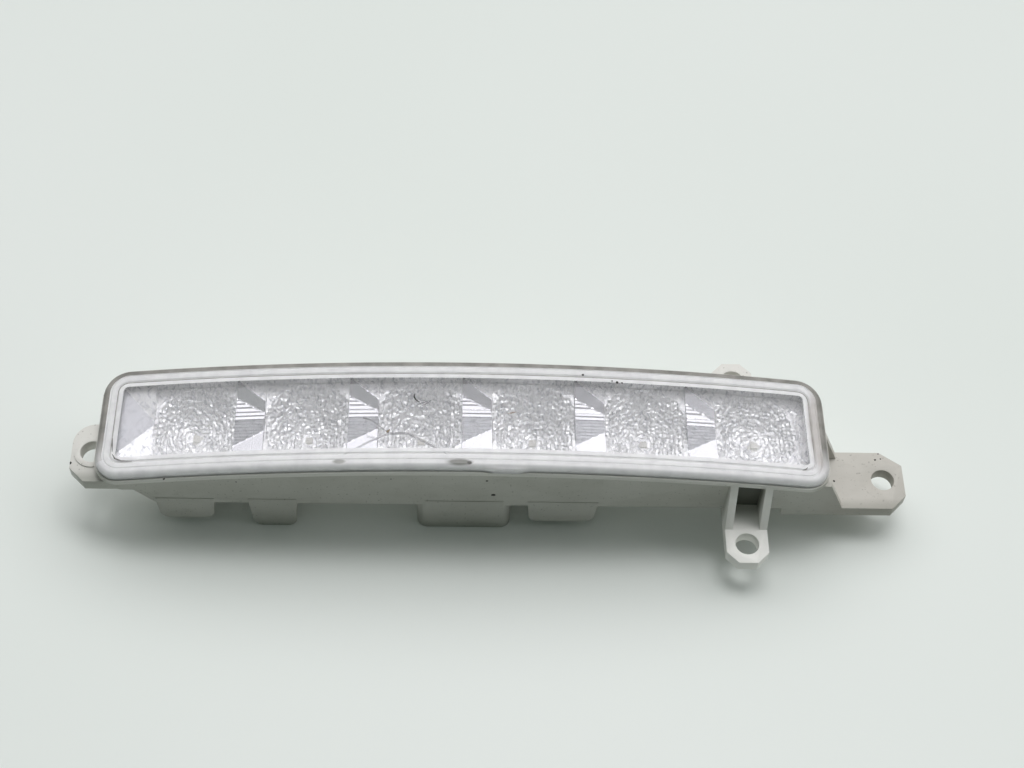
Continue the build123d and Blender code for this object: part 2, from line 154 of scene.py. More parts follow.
def rounded_copy(name, node, width):
    """A CAD node's own shape with its sharp edges slightly rounded, as a mould leaves them."""
    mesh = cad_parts[node].data.copy()
    form = bmesh.new()
    form.from_mesh(mesh)
    bmesh.ops.remove_doubles(form, verts=form.verts, dist=weld_gap)
    bmesh.ops.dissolve_limit(form, angle_limit=flat_angle, verts=form.verts, edges=form.edges)
    form.to_mesh(mesh)
    form.free()
    piece = bpy.data.objects.new(name, mesh)
    bpy.context.scene.collection.objects.link(piece)
    bevel = piece.modifiers.new("edge_round", "BEVEL")
    bevel.width = width
    bevel.segments = 2
    bevel.limit_method = "ANGLE"
    bevel.angle_limit = sharp_angle
    graph = bpy.context.evaluated_depsgraph_get()
    made = bpy.data.meshes.new_from_object(piece.evaluated_get(graph))
    piece.modifiers.clear()
    piece.data = made
    smooth_by_angle(made, 40)
    return piece


# Grey ABS with an eroded texture: matt and a little warm, clouded by handling, with a fine grain. Layers lie
# over it in turn: rubbed soil and dots of dirt, painted shade in the channel of the lower ear, a greenish
# painted shade over the near side and a film of soil over the right end. The tip of the lower ear is coloured
# near white as painted light. The grain is drawn coarser than the real texture, so that it shows.
abs_grey, tree, shader = surface("moulded_grey_abs")
place = put(tree, "TexCoord").outputs["Object"]
axes = put(tree, "SeparateXYZ", {"Vector": place})
along = put(tree, "Mapping", {"Vector": place, "Scale": (0.7, 1.0, 1.0)}).outputs["Vector"]
grain = put(tree, "TexNoise", {"Vector": place, "Scale": 1 / texture_grain, "Detail": 3.0})
cloud = put(tree, "TexNoise", {"Vector": along, "Scale": 1 / cloud_width, "Detail": 5.0, "Roughness": 0.6})
rub = put(tree, "TexNoise", {"Vector": along, "Scale": 1 / rub_width, "Detail": 6.0, "Roughness": 0.7})
dot = put(tree, "TexNoise", {"Vector": place, "Scale": 1 / dot_spacing, "Detail": 1.0})
tone = put(tree, "ValToRGB", {"Fac": cloud.outputs["Fac"]}, [(0.35, housing_worn), (0.60, housing_pale)])
soil = put(tree, "ValToRGB", {"Fac": rub.outputs["Fac"]}, [(0.56, "#000000"), (0.82, "#9A9A9A")])
dots = put(tree, "ValToRGB", {"Fac": dot.outputs["Fac"]}, [(0.68, "#000000"), (0.76, "#B0B0B0")])
# Painted shade: the channel between the ribs of the lower ear is coloured near black, where shade falls in
# it.
off_x = put(tree, "Math", {0: axes.outputs["X"], 1: channel_x * MM}, operation="SUBTRACT")
off_x = put(tree, "Math", {0: off_x.outputs[0]}, operation="ABSOLUTE")
near_half = put(tree, "Math", {0: axes.outputs["Y"], 1: 0.0}, operation="LESS_THAN")
channel_shade_mask = near_half.outputs[0]
for measure, (start, end), at_start, at_end in (
    (off_x.outputs[0], channel_sides, 1.0, 0.0),
    (axes.outputs["Y"], channel_mouth, 1.0, 0.0),
    (axes.outputs["Z"], channel_floor, 0.0, 1.0),
):
    held = put(tree, "MapRange", {"Value": measure, "From Min": start * MM, "From Max": end * MM,
                                  "To Min": at_start, "To Max": at_end})
    channel_shade_mask = put(tree, "Math", {0: channel_shade_mask, 1: held.outputs["Result"]}, operation="MULTIPLY").outputs[0]
layers = [(soil.outputs["Color"], housing_dirt), (dots.outputs["Color"], dot_dark), (channel_shade_mask, channel_painted_shade)]
for axis, start, end, most, code in (
    # Painted shade: the near side, from 12 mm in front of the middle outwards, is darkened with a greenish
    # grey.
    ("Y", -12.0, -14.0, 0.40, near_side_painted_shade),
    ("X", 84.0, 96.0, 0.45, end_soil),
    # Painted light: from 16 mm in front of the middle outwards, which is the lower ear, the plastic is
    # coloured near white.
    ("Y", -16.2, -19.0, 1.0, ear_painted_light),
):
    film = put(tree, "MapRange", {"Value": axes.outputs[axis], "From Min": start * MM, "From Max": end * MM,
                                  "To Max": most})
    layers.append((film.outputs["Result"], code))
colour = tone.outputs["Color"]
for cover, code in layers:
    colour = put(tree, "Mix", {"Factor": cover, "A": colour, "B": linear(code)},
                 data_type="RGBA").outputs["Result"]
tree.links.new(colour, shader.inputs["Base Color"])
relief = put(tree, "Bump", {"Height": grain.outputs["Fac"], "Strength": 0.20, "Distance": texture_depth})
tree.links.new(relief.outputs["Normal"], shader.inputs["Normal"])
shader.inputs["Roughness"].default_value = 0.58
shader.inputs["IOR"].default_value = 1.53
housing = rounded_copy("housing_moulding", "housing", housing_edge_round)
dress(housing, "moulded_grey", abs_grey, replaces="housing")

# Light board: an aluminium board under a white solder mask, screwed to the housing's posts behind the cups.
# The mask gives a smooth white with a faint cloud in it.
mask_cloud = 1.6 * MM


def coat(node, material):
    """Gives a CAD node, as it stands, its material."""
    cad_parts[node].data.materials.clear()
    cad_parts[node].data.materials.append(material)


mask_white, tree, shader = surface("white_solder_mask")
place = put(tree, "TexCoord").outputs["Object"]
cloud = put(tree, "TexNoise", {"Vector": place, "Scale": 1 / mask_cloud, "Detail": 3.0})
tone = put(tree, "ValToRGB", {"Fac": cloud.outputs["Fac"]}, [(0.3, "#DADCD8"), (0.7, "#E8EAE7")])
tree.links.new(tone.outputs["Color"], shader.inputs["Base Color"])
shader.inputs["Roughness"].default_value = 0.42
coat("led_board", mask_white)

# Light-emitting diodes: six ceramic packages soldered to the board, each with a square of phosphor on it. The
# phosphor looks pale cream when it is off, and the ceramic is white.
package_base_z = 17.8
ceramic_height = 0.75
fleck_width = 0.25 * MM
phosphor, tree, shader = surface("ceramic_with_phosphor")
place = put(tree, "TexCoord").outputs["Object"]
height = put(tree, "SeparateXYZ", {"Vector": place}).outputs["Z"]
lifted = put(tree, "Math", {0: height, 1: (package_base_z + ceramic_height) * MM}, operation="GREATER_THAN")
fleck = put(tree, "TexNoise", {"Vector": place, "Scale": 1 / fleck_width, "Detail": 2.0})
cream = put(tree, "ValToRGB", {"Fac": fleck.outputs["Fac"]}, [(0.3, "#E9E7DE"), (0.7, "#F2F1EB")])
colour = put(tree, "Mix", {"Factor": lifted.outputs[0], "A": linear("#EBEBE6"), "B": cream.outputs["Color"]},
             data_type="RGBA")
tree.links.new(colour.outputs["Result"], shader.inputs["Base Color"])
shader.inputs["Roughness"].default_value = 0.35
for i in range(1, 7):
    coat(f"led_{i}", phosphor)

# Pieces inside the lamp and behind it: the sealant under the lens, the plug contacts, the driver parts that
# are soldered to the board, its screws and the patch over the vent. Each has its common material, which gives
# the eye a plain tone with a fine grain.
finish_depth = 0.03 * MM


def plain(name, light, dark, grain_mm, roughness, metallic=0.0):
    """A finish with a fine two-tone grain."""
    material, tree, shader = surface(name)
    place = put(tree, "TexCoord").outputs["Object"]
    grain = put(tree, "TexNoise", {"Vector": place, "Scale": 1 / (grain_mm * MM), "Detail": 3.0})
    tone = put(tree, "ValToRGB", {"Fac": grain.outputs["Fac"]}, [(0.35, dark), (0.65, light)])
    tree.links.new(tone.outputs["Color"], shader.inputs["Base Color"])
    relief = put(tree, "Bump", {"Height": grain.outputs["Fac"], "Strength": 0.15, "Distance": finish_depth})
    tree.links.new(relief.outputs["Normal"], shader.inputs["Normal"])
    shader.inputs["Roughness"].default_value = roughness
    shader.inputs["Metallic"].default_value = metallic
    return material


finishes = {
    "lens_sealant": plain("grey_butyl_sealant", "#A9A7A3", "#8F8D89", 1.2, 0.55),
    "pin_header": plain("black_nylon", "#1D1D1E", "#121213", 0.5, 0.5),
    "driver_chip": plain("black_epoxy", "#26262A", "#18181A", 0.4, 0.45),
    "power_inductor": plain("ferrite", "#3B3C3F", "#29292B", 0.6, 0.6),
    "input_capacitor": plain("aluminium_can", "#C7C9CB", "#AEB0B2", 0.8, 0.3, 1.0),
    "board_screws": plain("zinc_plated_steel", "#C2C2BE", "#A5A5A2", 0.5, 0.32, 1.0),
    "vent_membrane": plain("breathing_film", "#E4E4E0", "#D2D2CD", 0.7, 0.8),
    "supply_pin": plain("tinned_brass", "#CFCBC2", "#B6B2A8", 0.5, 0.28, 1.0),
}
finishes["reverse_diode"] = finishes["surge_diode"] = finishes["driver_chip"]
finishes["sense_resistors"] = finishes["power_inductor"]
finishes["dimming_pin"] = finishes["ground_pin"] = finishes["supply_pin"]
for node_name, material in finishes.items():
    coat(node_name, material)

# Reflector: one polycarbonate moulding, metallised in vacuum, with six cups, stepped webs and a frame wall.
# Small hammer marks that spread the light cover the cups, and each web is cut in flat polished facets. It
# stands on the light board by legs that no view shows.
lens_centre_x = -8.25
bow_radius = 640.0
crest_z = 35.0
frame_half = (95.4, 13.2)
frame_corner = 3.3
frame_wall = (1.5, 0.7)
wall_x = frame_half[0] - frame_wall[0]
frame_drop = 2.8
web_drop = 5.2
cup_pitch = 30.7
cup_shift = 3.3
cup_xs = [cup_shift + (i - 2.5) * cup_pitch for i in range(6)]
web_xs = [(a + b) / 2 for a, b in zip(cup_xs, cup_xs[1:])]
cup_radius = 12.3
cup_floor_z = 18.7
mark_pitch = 1.0
mark_stray = 0.4
mark_crown = 0.20
mark_tilt = 0.28
mark_step = 0.85
web_marks = 0.5
web_salt = 40
plain_centre = 1.6
plain_fade = 1.2
dish_radius = 8.0
dish_step = 0.3
grid_step = 0.25
web_sides = (-4.3, 3.9)
web_ramp_foot = (5.4, -0.62)
web_ramp_end = (9.6, -0.83)
web_ramp_rise = 0.30
web_ramp_step = 0.10
web_fall = 0.14
web_field_top = 1.0
web_field_foot = (-4.6, 0.56)
flute_pitch = 1.35
flute_height = 0.25
flute_depth = 0.13
hatch_slope = 0.27
end_panel_x = -84.5
end_panel_run = wall_x + end_panel_x
end_panel_rise = 2.2
upper_slope_foot = 2.0
upper_slope_run = 10.5
dented_top = 1.0
dented_fall = 10.0
sheet_thickness = 1.1
wall_step = 0.1
wall_lean_x = 0.02
wall_lean_v = 0.002
film_bright = "#CBCBCF"


def bow_z(x, drop):
    """Height of the bowed surface that lies drop behind the lens front, x along from the lens centre."""
    return crest_z - bow_radius + np.sqrt((bow_radius - drop) ** 2 - x * x)


def scatter(column, row, salt):
    """A fixed value from -1 to 1 for each cell of a grid."""
    value = np.sin(column * 127.1 + row * 311.7 + salt * 74.7) * 43758.5453
    return 2 * (value - np.floor(value)) - 1


def hammer_marks(x, y, pitch, salt):
    """Pillows about a pitch apart, each with its own lean: their relief, and the way to each one's centre."""
    column, row = np.floor(x / pitch), np.floor(y / pitch)
    nearest = np.full(x.shape, 9.0)
    lean, to_x, to_y = np.zeros(x.shape), np.zeros(x.shape), np.zeros(x.shape)
    for i in (-1, 0, 1):
        for j in (-1, 0, 1):
            cell = (column + i, row + j)
            off_x = x / pitch - (column + i + 0.5 + mark_stray * scatter(*cell, salt))
            off_y = y / pitch - (row + j + 0.5 + mark_stray * scatter(*cell, salt + 1))
            own = scatter(*cell, salt + 2) * off_x + scatter(*cell, salt + 3) * off_y
            gap = off_x**2 + off_y**2
            lean = np.where(gap < nearest, own, lean)
            to_x = np.where(gap < nearest, off_x * pitch, to_x)
            to_y = np.where(gap < nearest, off_y * pitch, to_y)
            nearest = np.minimum(gap, nearest)
    return pitch * (mark_tilt * lean - mark_crown * nearest), to_x, to_y


def slanted(edge, off):
    """Where a facet's slanted edge lies in the plan, at an offset from the middle of its web."""
    return edge[0] + edge[1] * off


def web_relief(x, y):
    """Relief of a web between two cups: an upper shoulder and ramp, flutes, a hatched field, a lower ramp."""
    ramp_foot, ramp_end = slanted(web_ramp_foot, x), slanted(web_ramp_end, x)
    field_foot = slanted(web_field_foot, x)
    shoulder = web_ramp_rise * (ramp_end - ramp_foot) - web_fall * (y - ramp_end)
    ramp = web_ramp_rise * (y - ramp_foot) + web_ramp_step
    flute_run = np.mod((y - web_field_top) / flute_pitch, 1.0)
    flute = flute_height - flute_depth * np.clip((flute_run - 0.7) / 0.3, 0, 1)
    hatch = hatch_slope * np.abs(np.mod(y, 1.0) - 0.5)
    lower = web_fall * (field_foot - y)
    above = [y > ramp_end, y > ramp_foot, y > web_field_top, y > field_foot]
    return np.select(above, [shoulder, ramp, flute, hatch], lower)


def reflector_height(x, y, inside):
    """Height of the reflector's front over a point of its plan."""
    front = bow_z(x, web_drop) + web_marks * hammer_marks(x, y, mark_pitch, web_salt)[0]
    for salt, cup_x in enumerate(cup_xs):
        reach = x - cup_x
        radius = np.hypot(reach, y)
        rim_z = bow_z(np.asarray(cup_x), web_drop)
        marks, to_x, to_y = hammer_marks(reach, y, mark_pitch, 5 * salt)
        stepped = np.hypot(reach - mark_step * to_x, y - mark_step * to_y)
        bowl = cup_floor_z + (rim_z - cup_floor_z) * (stepped / cup_radius) ** 2
        bowl = bowl + marks * np.clip((radius - plain_centre) / plain_fade, 0, 1)
        bowl = bowl - dish_step * (radius < dish_radius)
        front = np.where(np.abs(reach) < cup_pitch / 2, np.minimum(front, bowl), front)
    for web_x in web_xs:
        on_web = (x - web_x > web_sides[0]) & (x - web_x < web_sides[1])
        front = np.where(on_web, bow_z(x, web_drop) + web_relief(x - web_x, y), front)
    end_slope = end_panel_rise * np.clip((end_panel_x - x) / end_panel_run, 0, 1)
    upper_slope = end_panel_rise * np.clip((y - upper_slope_foot) / upper_slope_run, 0, 1)
    front = np.where(x < end_panel_x, bow_z(x, web_drop) + np.maximum(end_slope, upper_slope), front)
    return np.where(inside, np.minimum(front, bow_z(x, frame_drop) - wall_step), bow_z(x, frame_drop))


def spaced(low, high, step):
    """Even steps from low to high, about one step apart."""
    return np.linspace(low, high, int(round((high - low) / step)) + 1)


def solid_sheet(name, plan_x, plan_y, front_z, thickness, coarse=6):
    """A closed sheet: a fine front over a grid and a coarser back that follows it one thickness behind."""
    rows, columns = front_z.shape
    points = np.stack([plan_x + lens_centre_x, plan_y, front_z], axis=-1) * MM
    number = np.arange(rows * columns).reshape(rows, columns)
    corners = [number[:-1, :-1], number[1:, :-1], number[1:, 1:], number[:-1, 1:]]
    faces = np.stack(corners, axis=-1).reshape(-1, 4)
    back_rows = sorted({*range(0, rows, coarse), rows - 1})
    back_columns = sorted({*range(0, columns, coarse), columns - 1})
    back = points[np.ix_(back_rows, back_columns)].copy()
    for i, row in enumerate(back_rows):
        for j, column in enumerate(back_columns):
            beside = slice(max(0, row - coarse), row + coarse + 1)
            along = slice(max(0, column - coarse), column + coarse + 1)
            back[i, j, 2] = points[beside, along, 2].min() - thickness * MM
    shift = rows * columns
    behind = shift + np.arange(len(back_rows) * len(back_columns)).reshape(len(back_rows), len(back_columns))
    back_corners = [behind[:-1, :-1], behind[:-1, 1:], behind[1:, 1:], behind[1:, :-1]]
    back_faces = np.stack(back_corners, axis=-1).reshape(-1, 4)
    sides = []
    for column, far in ((0, 0), (columns - 1, len(back_columns) - 1)):
        for i, (start, end) in enumerate(zip(back_rows, back_rows[1:])):
            sides.append([*number[start : end + 1, column], behind[i + 1, far], behind[i, far]])
    for row, far in ((0, 0), (rows - 1, len(back_rows) - 1)):
        for j, (start, end) in enumerate(zip(back_columns, back_columns[1:])):
            sides.append([*number[row, start : end + 1], behind[far, j + 1], behind[far, j]])
    every = [[int(corner) for corner in face] for face in (*faces, *back_faces, *sides)]
    return build(name, np.concatenate([points.reshape(-1, 3), back.reshape(-1, 3)]).tolist(), every)


wall_v = 1 - frame_wall[1] / frame_half[1]
inner_x = spaced(-wall_x + wall_lean_x, wall_x - wall_lean_x, grid_step)
inner_v = spaced(-wall_v + wall_lean_v, wall_v - wall_lean_v, grid_step / frame_half[1])
xs = np.concatenate([[-frame_half[0], -wall_x - wall_lean_x], inner_x, [wall_x + wall_lean_x, frame_half[0]]])
vs = np.concatenate([[-1.0, -wall_v - wall_lean_v], inner_v, [wall_v + wall_lean_v, 1.0]])
corner_run = np.clip(np.abs(xs) - (frame_half[0] - frame_corner), 0, frame_corner)
reach_y = frame_half[1] - frame_corner + np.sqrt(frame_corner**2 - corner_run**2)
plan_x = np.repeat(xs[:, None], len(vs), axis=1)
plan_y = vs[None, :] * reach_y[:, None]
in_window = (np.abs(plan_x) < wall_x) & (np.abs(vs)[None, :] < wall_v)
front_z = reflector_height(plan_x, plan_y, in_window)
reflector = solid_sheet("reflector_moulding", plan_x, plan_y, front_z, sheet_thickness)
smooth_by_angle(reflector.data, 14)

# Vacuum-metallised polycarbonate: a bright aluminium film under a clear varnish, sharp on the flat facets and
# satin on the end panel and the hatched fields. The hammered cups are almost white, broken up by short grey
# strokes that cross each other. The greys of the strokes, on the satin and the hammered film, are painted
# reflection: each small facet is coloured as if it mirrored a darker part of the room.
film_haze = 6.0 * MM
stroke_width = 0.45 * MM
stroke_length = 1.3 * MM
stroke_relief = 0.12 * MM
films = []
for finish, low, high, metal, painted_reflection_greys in (
    ("polished", 0.12, 0.24, 1.0, None),
    ("satin", 0.30, 0.42, 0.4, ("#A2A3A9", "#B4B5BA", "#BCBDC2")),
    ("hammered", 0.26, 0.42, 0.4, ("#D2D3D7", "#F4F4F6", "#FFFFFF")),
):
    film, tree, shader = surface("metallised_polycarbonate_" + finish)
    films.append(film)
    place = put(tree, "TexCoord").outputs["Object"]
    haze = put(tree, "TexNoise", {"Vector": place, "Scale": 1 / film_haze, "Detail": 4.0})
    dull = put(tree, "MapRange", {"Value": haze.outputs["Fac"], "To Min": low, "To Max": high})
    tree.links.new(dull.outputs["Result"], shader.inputs["Roughness"])
    shader.inputs["Base Color"].default_value = linear(film_bright)
    shader.inputs["Metallic"].default_value = metal
    if painted_reflection_greys is None:
        continue
    tones = []
    # Painted reflection: two crossing patterns of cells, each cell given its own grey as if it mirrored its
    # own part of the room.
    for turn, stops in (
        (0.7, list(zip((0.0, 0.15, 0.35), painted_reflection_greys))),
        (-0.6, [(0.0, "#DADBDE"), (0.25, "#FFFFFF")]),
    ):
        run = put(tree, "Mapping", {"Vector": place, "Rotation": (0, 0, turn),
                                    "Scale": (stroke_width, stroke_length, stroke_length)},
                  vector_type="TEXTURE")
        marks = put(tree, "TexVoronoi", {"Vector": run.outputs["Vector"], "Scale": 1.0})
        own = put(tree, "SeparateXYZ", {"Vector": marks.outputs["Color"]})
        tones.append(put(tree, "ValToRGB", {"Fac": own.outputs["X"]}, stops))
    tone = put(tree, "Mix", {"Factor": 1.0, "A": tones[0].outputs["Color"],
                             "B": tones[1].outputs["Color"]}, data_type="RGBA", blend_type="MULTIPLY")
    tree.links.new(tone.outputs["Result"], shader.inputs["Base Color"])
    relief = put(tree, "Bump", {"Height": marks.outputs["Distance"], "Strength": 0.45,
                                "Distance": stroke_relief}, invert=True)
    tree.links.new(relief.outputs["Normal"], shader.inputs["Normal"])
polished_part, satin_part, hammered_part = range(3)
parts = []
for face in reflector.data.polygons:
    face_x, face_y = face.center.x / MM - lens_centre_x, face.center.y / MM
    along_end = (end_panel_x - face_x) / end_panel_run
    on_end = along_end > max(0, (face_y - upper_slope_foot) / upper_slope_run)
    part = satin_part if on_end and face_y > dented_top - dented_fall * along_end else hammered_part
    for web_x in web_xs:
        off = face_x - web_x
        if web_sides[0] < off < web_sides[1] and face_y < slanted(web_ramp_end, off):
            on_field = slanted(web_field_foot, off) < face_y < web_field_top
            part = satin_part if on_field else polished_part
    parts.append(part)
dress(reflector, "metallised_plastic", *films, parts=parts, replaces="reflector")

# Outer lens: one clear acrylic moulding, bowed along the lamp, with a round outer edge and a leg that is
# glued into the housing. Its rim has gone milky over the joint and has two fine grooves, and the stub of the
# mould's gate stands on its near edge.
lens_half = (99.1, 16.9)
lens_corner = 7.0
lens_thickness = 2.5
edge_round = 1.3
edge_steps = 8
leg_inset = 2.0
leg_width = 1.4
leg_depth = 2.5
rim_width = 4.3
groove_depth = 0.36
bead_inset = 2.2
gate_x = 11.0
gate_half = 5.6
gate_bulge = 0.58
gate_inset = 1.0
gate_y = -10.0
gate_drop = 0.5
end_steps = 4
corner_steps = 12
side_points = 121
acrylic_ior = 1.49
shade_fade_start = -5.0
shade_fade_end = -12.5
clear_part, milky_part, painted_shade_part, inside_part, edge_part = range(5)
edge_turn = [math.radians(90 * i / edge_steps) for i in range(edge_steps + 1)]
# Each row is an inset from the outline, a drop behind the front and the finish of the band that ends there.
lens_profile = [
    # The clear window, and round it a white line of milky acrylic, painted light for the lit frame wall
    # beneath
    (rim_width + 1.90, 0.0, clear_part),
    (rim_width + 1.35, 0.0, clear_part),
    (rim_width + 0.25, 0.0, milky_part),
    # The inner groove with painted shade on its floor, and the flat of the rim
    (rim_width - 0.05, groove_depth, milky_part),
    (rim_width - 0.25, groove_depth, painted_shade_part),
    (rim_width - 0.60, 0.0, milky_part),
    (rim_width - 0.70, 0.0, milky_part),
    (bead_inset + 0.35, 0.0, milky_part),
    # The outer groove, half as deep
    (bead_inset + 0.10, groove_depth / 2, milky_part),
    (bead_inset - 0.10, groove_depth / 2, milky_part),
    (bead_inset - 0.25, 0.0, milky_part),
    # The round outer edge
    (edge_round + 0.60, 0.0, milky_part),
    (edge_round + 0.10, 0.0, edge_part),
    *[(edge_round * (1 - math.sin(a)), edge_round * (1 - math.cos(a)), edge_part) for a in edge_turn],
    (0.0, lens_thickness, edge_part),
    # The leg and the start of the inside face
    (leg_inset, lens_thickness, milky_part),
    (leg_inset, lens_thickness + leg_depth, milky_part),
    (leg_inset + leg_width, lens_thickness + leg_depth, milky_part),
    (leg_inset + leg_width, lens_thickness, milky_part),
    (leg_inset + leg_width + 0.30, lens_thickness, inside_part),
]


def half_ring(inset):
    """The upper half of the lens outline taken in by an amount, from its left end to its right end."""
    length, height = lens_half[0] - inset, lens_half[1] - inset
    corner = lens_corner - inset
    left = [(-length, (height - corner) * i / end_steps) for i in range(end_steps)]
    turns = [math.radians(90 * i / corner_steps) for i in range(corner_steps + 1)]
    left_corner = [(-length + corner * (1 - math.cos(t)), height - corner * (1 - math.sin(t))) for t in turns]
    top = [(x, height) for x in np.linspace(-length + corner, length - corner, side_points)[1:-1]]
    return left + left_corner + top + [(-x, y) for x, y in reversed(left + left_corner)]


def lens_point(x, y, drop):
    """A point of the lens plan, drop behind the bowed front, in the lamp's frame."""
    return (x + lens_centre_x) * MM, y * MM, float(bow_z(x, drop)) * MM


points, rings = [], []
for inset, drop, _ in lens_profile:
    upper = half_ring(inset)
    lower = [(x, -y) for x, y in reversed(upper[1:-1])]
    ring = []
    for x, y in upper + lower:
        off = abs(x - gate_x) / gate_half
        if inset < gate_inset and y < gate_y and drop > gate_drop and off < 1:
            y -= gate_bulge * (1 - off**4) * (gate_inset - inset)
        ring.append(len(points))
        points.append(lens_point(x, y, drop))
    rings.append(ring)
faces, parts = [], []
for (above, below), (_, _, part) in zip(zip(rings, rings[1:]), lens_profile[1:]):
    around = len(above)
    faces += [(above[i], above[(i + 1) % around], below[(i + 1) % around], below[i]) for i in range(around)]
    # The outer edge on the far side and the ends takes the painted shade; on the near side it stays milky.
    far_side = [points[below[i]][1] > shade_fade_end * MM for i in range(around)]
    parts += [(painted_shade_part if far else milky_part) if part == edge_part else part for far in far_side]
half = len(half_ring(0))
for ring, part in ((rings[0], clear_part), (rings[-1], inside_part)):
    upper = ring[:half]
    lower = [ring[0], *reversed(ring[half:]), ring[half - 1]]
    strips = [list(dict.fromkeys((upper[i], lower[i], lower[i + 1], upper[i + 1]))) for i in range(half - 1)]
    faces += strips
    parts += [part] * len(strips)
outer_lens = build("outer_lens_moulding", points, faces)
smooth_by_angle(outer_lens.data, 30)

# Clear acrylic that has seen weather: glossy and colourless, with a thin milky veil and hairline scuffs.
veil_width = 9.0 * MM
scuff_width = 0.9 * MM
scuff_depth = 0.02 * MM
clear_acrylic, tree, shader = surface("weathered_clear_acrylic")
place = put(tree, "TexCoord").outputs["Object"]
cloud = put(tree, "TexNoise", {"Vector": place, "Scale": 1 / veil_width, "Detail": 5.0})
run = put(tree, "Mapping", {"Vector": place, "Scale": (0.15, 1.0, 1.0), "Rotation": (0, 0, 0.5)})
scuff = put(tree, "TexNoise", {"Vector": run.outputs["Vector"], "Scale": 1 / scuff_width, "Detail": 2.0})
dull = put(tree, "MapRange", {"Value": cloud.outputs["Fac"], "From Min": 0.4, "From Max": 0.75,
                              "To Min": 0.0, "To Max": 0.06})
tree.links.new(dull.outputs["Result"], shader.inputs["Roughness"])
relief = put(tree, "Bump", {"Height": scuff.outputs["Fac"], "Strength": 0.05, "Distance": scuff_depth})
tree.links.new(relief.outputs["Normal"], shader.inputs["Normal"])
shader.inputs["Base Color"].default_value = linear("#F8F7FB")
shader.inputs["Transmission Weight"].default_value = 0.92
shader.inputs["IOR"].default_value = acrylic_ior

# The same acrylic inside the lens, which no weather has reached: clear, with a faint breath of haze.
breath_width = 12.0 * MM
inner_acrylic, tree, shader = surface("clear_acrylic_inside")
place = put(tree, "TexCoord").outputs["Object"]
haze = put(tree, "TexNoise", {"Vector": place, "Scale": 1 / breath_width, "Detail": 3.0})
dull = put(tree, "MapRange", {"Value": haze.outputs["Fac"], "To Min": 0.0, "To Max": 0.03})
tree.links.new(dull.outputs["Result"], shader.inputs["Roughness"])
shader.inputs["Base Color"].default_value = linear("#FFFFFF")
shader.inputs["Transmission Weight"].default_value = 1.0
shader.inputs["IOR"].default_value = acrylic_ior

# Milky acrylic over the glued joint: the same plastic, hazed through, with soft clouds along the rim and a
# few stains.
bloom_width = 4.0 * MM
milk_depth = 6.0 * MM
rim_stains = [
    ((-1.6, -15.5), (3.8, 1.1), 0.95, "#7C7C77"),
    ((1.1, -15.7), (0.8, 0.5), 1.0, "#35342F"),
    ((-33.3, -15.3), (1.9, 0.8), 0.8, "#8A8983"),
    ((96.5, 0.0), (2.6, 15.0), 0.55, "#A0968A"),
]
milky_acrylic, tree, shader = surface("milky_acrylic")
place = put(tree, "TexCoord").outputs["Object"]
bloom = put(tree, "TexNoise", {"Vector": place, "Scale": 1 / bloom_width, "Detail": 5.0})
tone = put(tree, "ValToRGB", {"Fac": bloom.outputs["Fac"]}, [(0.35, "#EBE9ED"), (0.62, "#FAF8FC")])
colour = tone.outputs["Color"]
for (stain_x, stain_y), (half_x, half_y), strength, code in rim_stains:
    centre = ((stain_x + lens_centre_x) * MM, stain_y * MM, 0)
    spread = (half_x * MM, half_y * MM, 1.0)
    off = put(tree, "Mapping", {"Vector": place, "Location": centre, "Scale": spread}, vector_type="TEXTURE")
    gap = put(tree, "VectorMath", {0: off.outputs["Vector"]}, operation="LENGTH")
    cover = put(tree, "MapRange", {"Value": gap.outputs["Value"], "From Min": 1.1, "From Max": 0.6,
                                   "To Min": 0.0, "To Max": strength})
    colour = put(tree, "Mix", {"Factor": cover.outputs["Result"], "A": colour, "B": linear(code)},
                 data_type="RGBA").outputs["Result"]
tree.links.new(colour, shader.inputs["Base Color"])
shader.inputs["Roughness"].default_value = 0.22
shader.inputs["Transmission Weight"].default_value = 0.10
shader.inputs["Subsurface Weight"].default_value = 0.8
shader.inputs["Subsurface Radius"].default_value = (1.0, 1.0, 1.0)
shader.inputs["Subsurface Scale"].default_value = milk_depth
shader.inputs["IOR"].default_value = acrylic_ior

# Acrylic with painted shade on the outer edge of the far side and the ends, and on the floor of the inner
# groove:
# a dark line round the lens, which fades to a pale grey towards the near side.
shade_cloud_width = 5.0 * MM
painted_shade_acrylic, tree, shader = surface("acrylic_with_painted_shade")
place = put(tree, "TexCoord").outputs["Object"]
film = put(tree, "TexNoise", {"Vector": place, "Scale": 1 / shade_cloud_width, "Detail": 4.0})
tone = put(tree, "ValToRGB", {"Fac": film.outputs["Fac"]}, [(0.35, "#75736E"), (0.65, "#96938E")])
where = put(tree, "SeparateXYZ", {"Vector": place})
held = put(tree, "MapRange", {"Value": where.outputs["Y"], "From Min": shade_fade_end * MM,
                              "From Max": shade_fade_start * MM})
tone = put(tree, "Mix", {"Factor": held.outputs["Result"], "A": linear("#CFCDCE"),
                         "B": tone.outputs["Color"]}, data_type="RGBA")
tree.links.new(tone.outputs["Result"], shader.inputs["Base Color"])
shader.inputs["Roughness"].default_value = 0.35
shader.inputs["IOR"].default_value = acrylic_ior
dress(outer_lens, "clear_acrylic", clear_acrylic, milky_acrylic, painted_shade_acrylic, inner_acrylic, parts=parts,
      replaces="outer_lens")

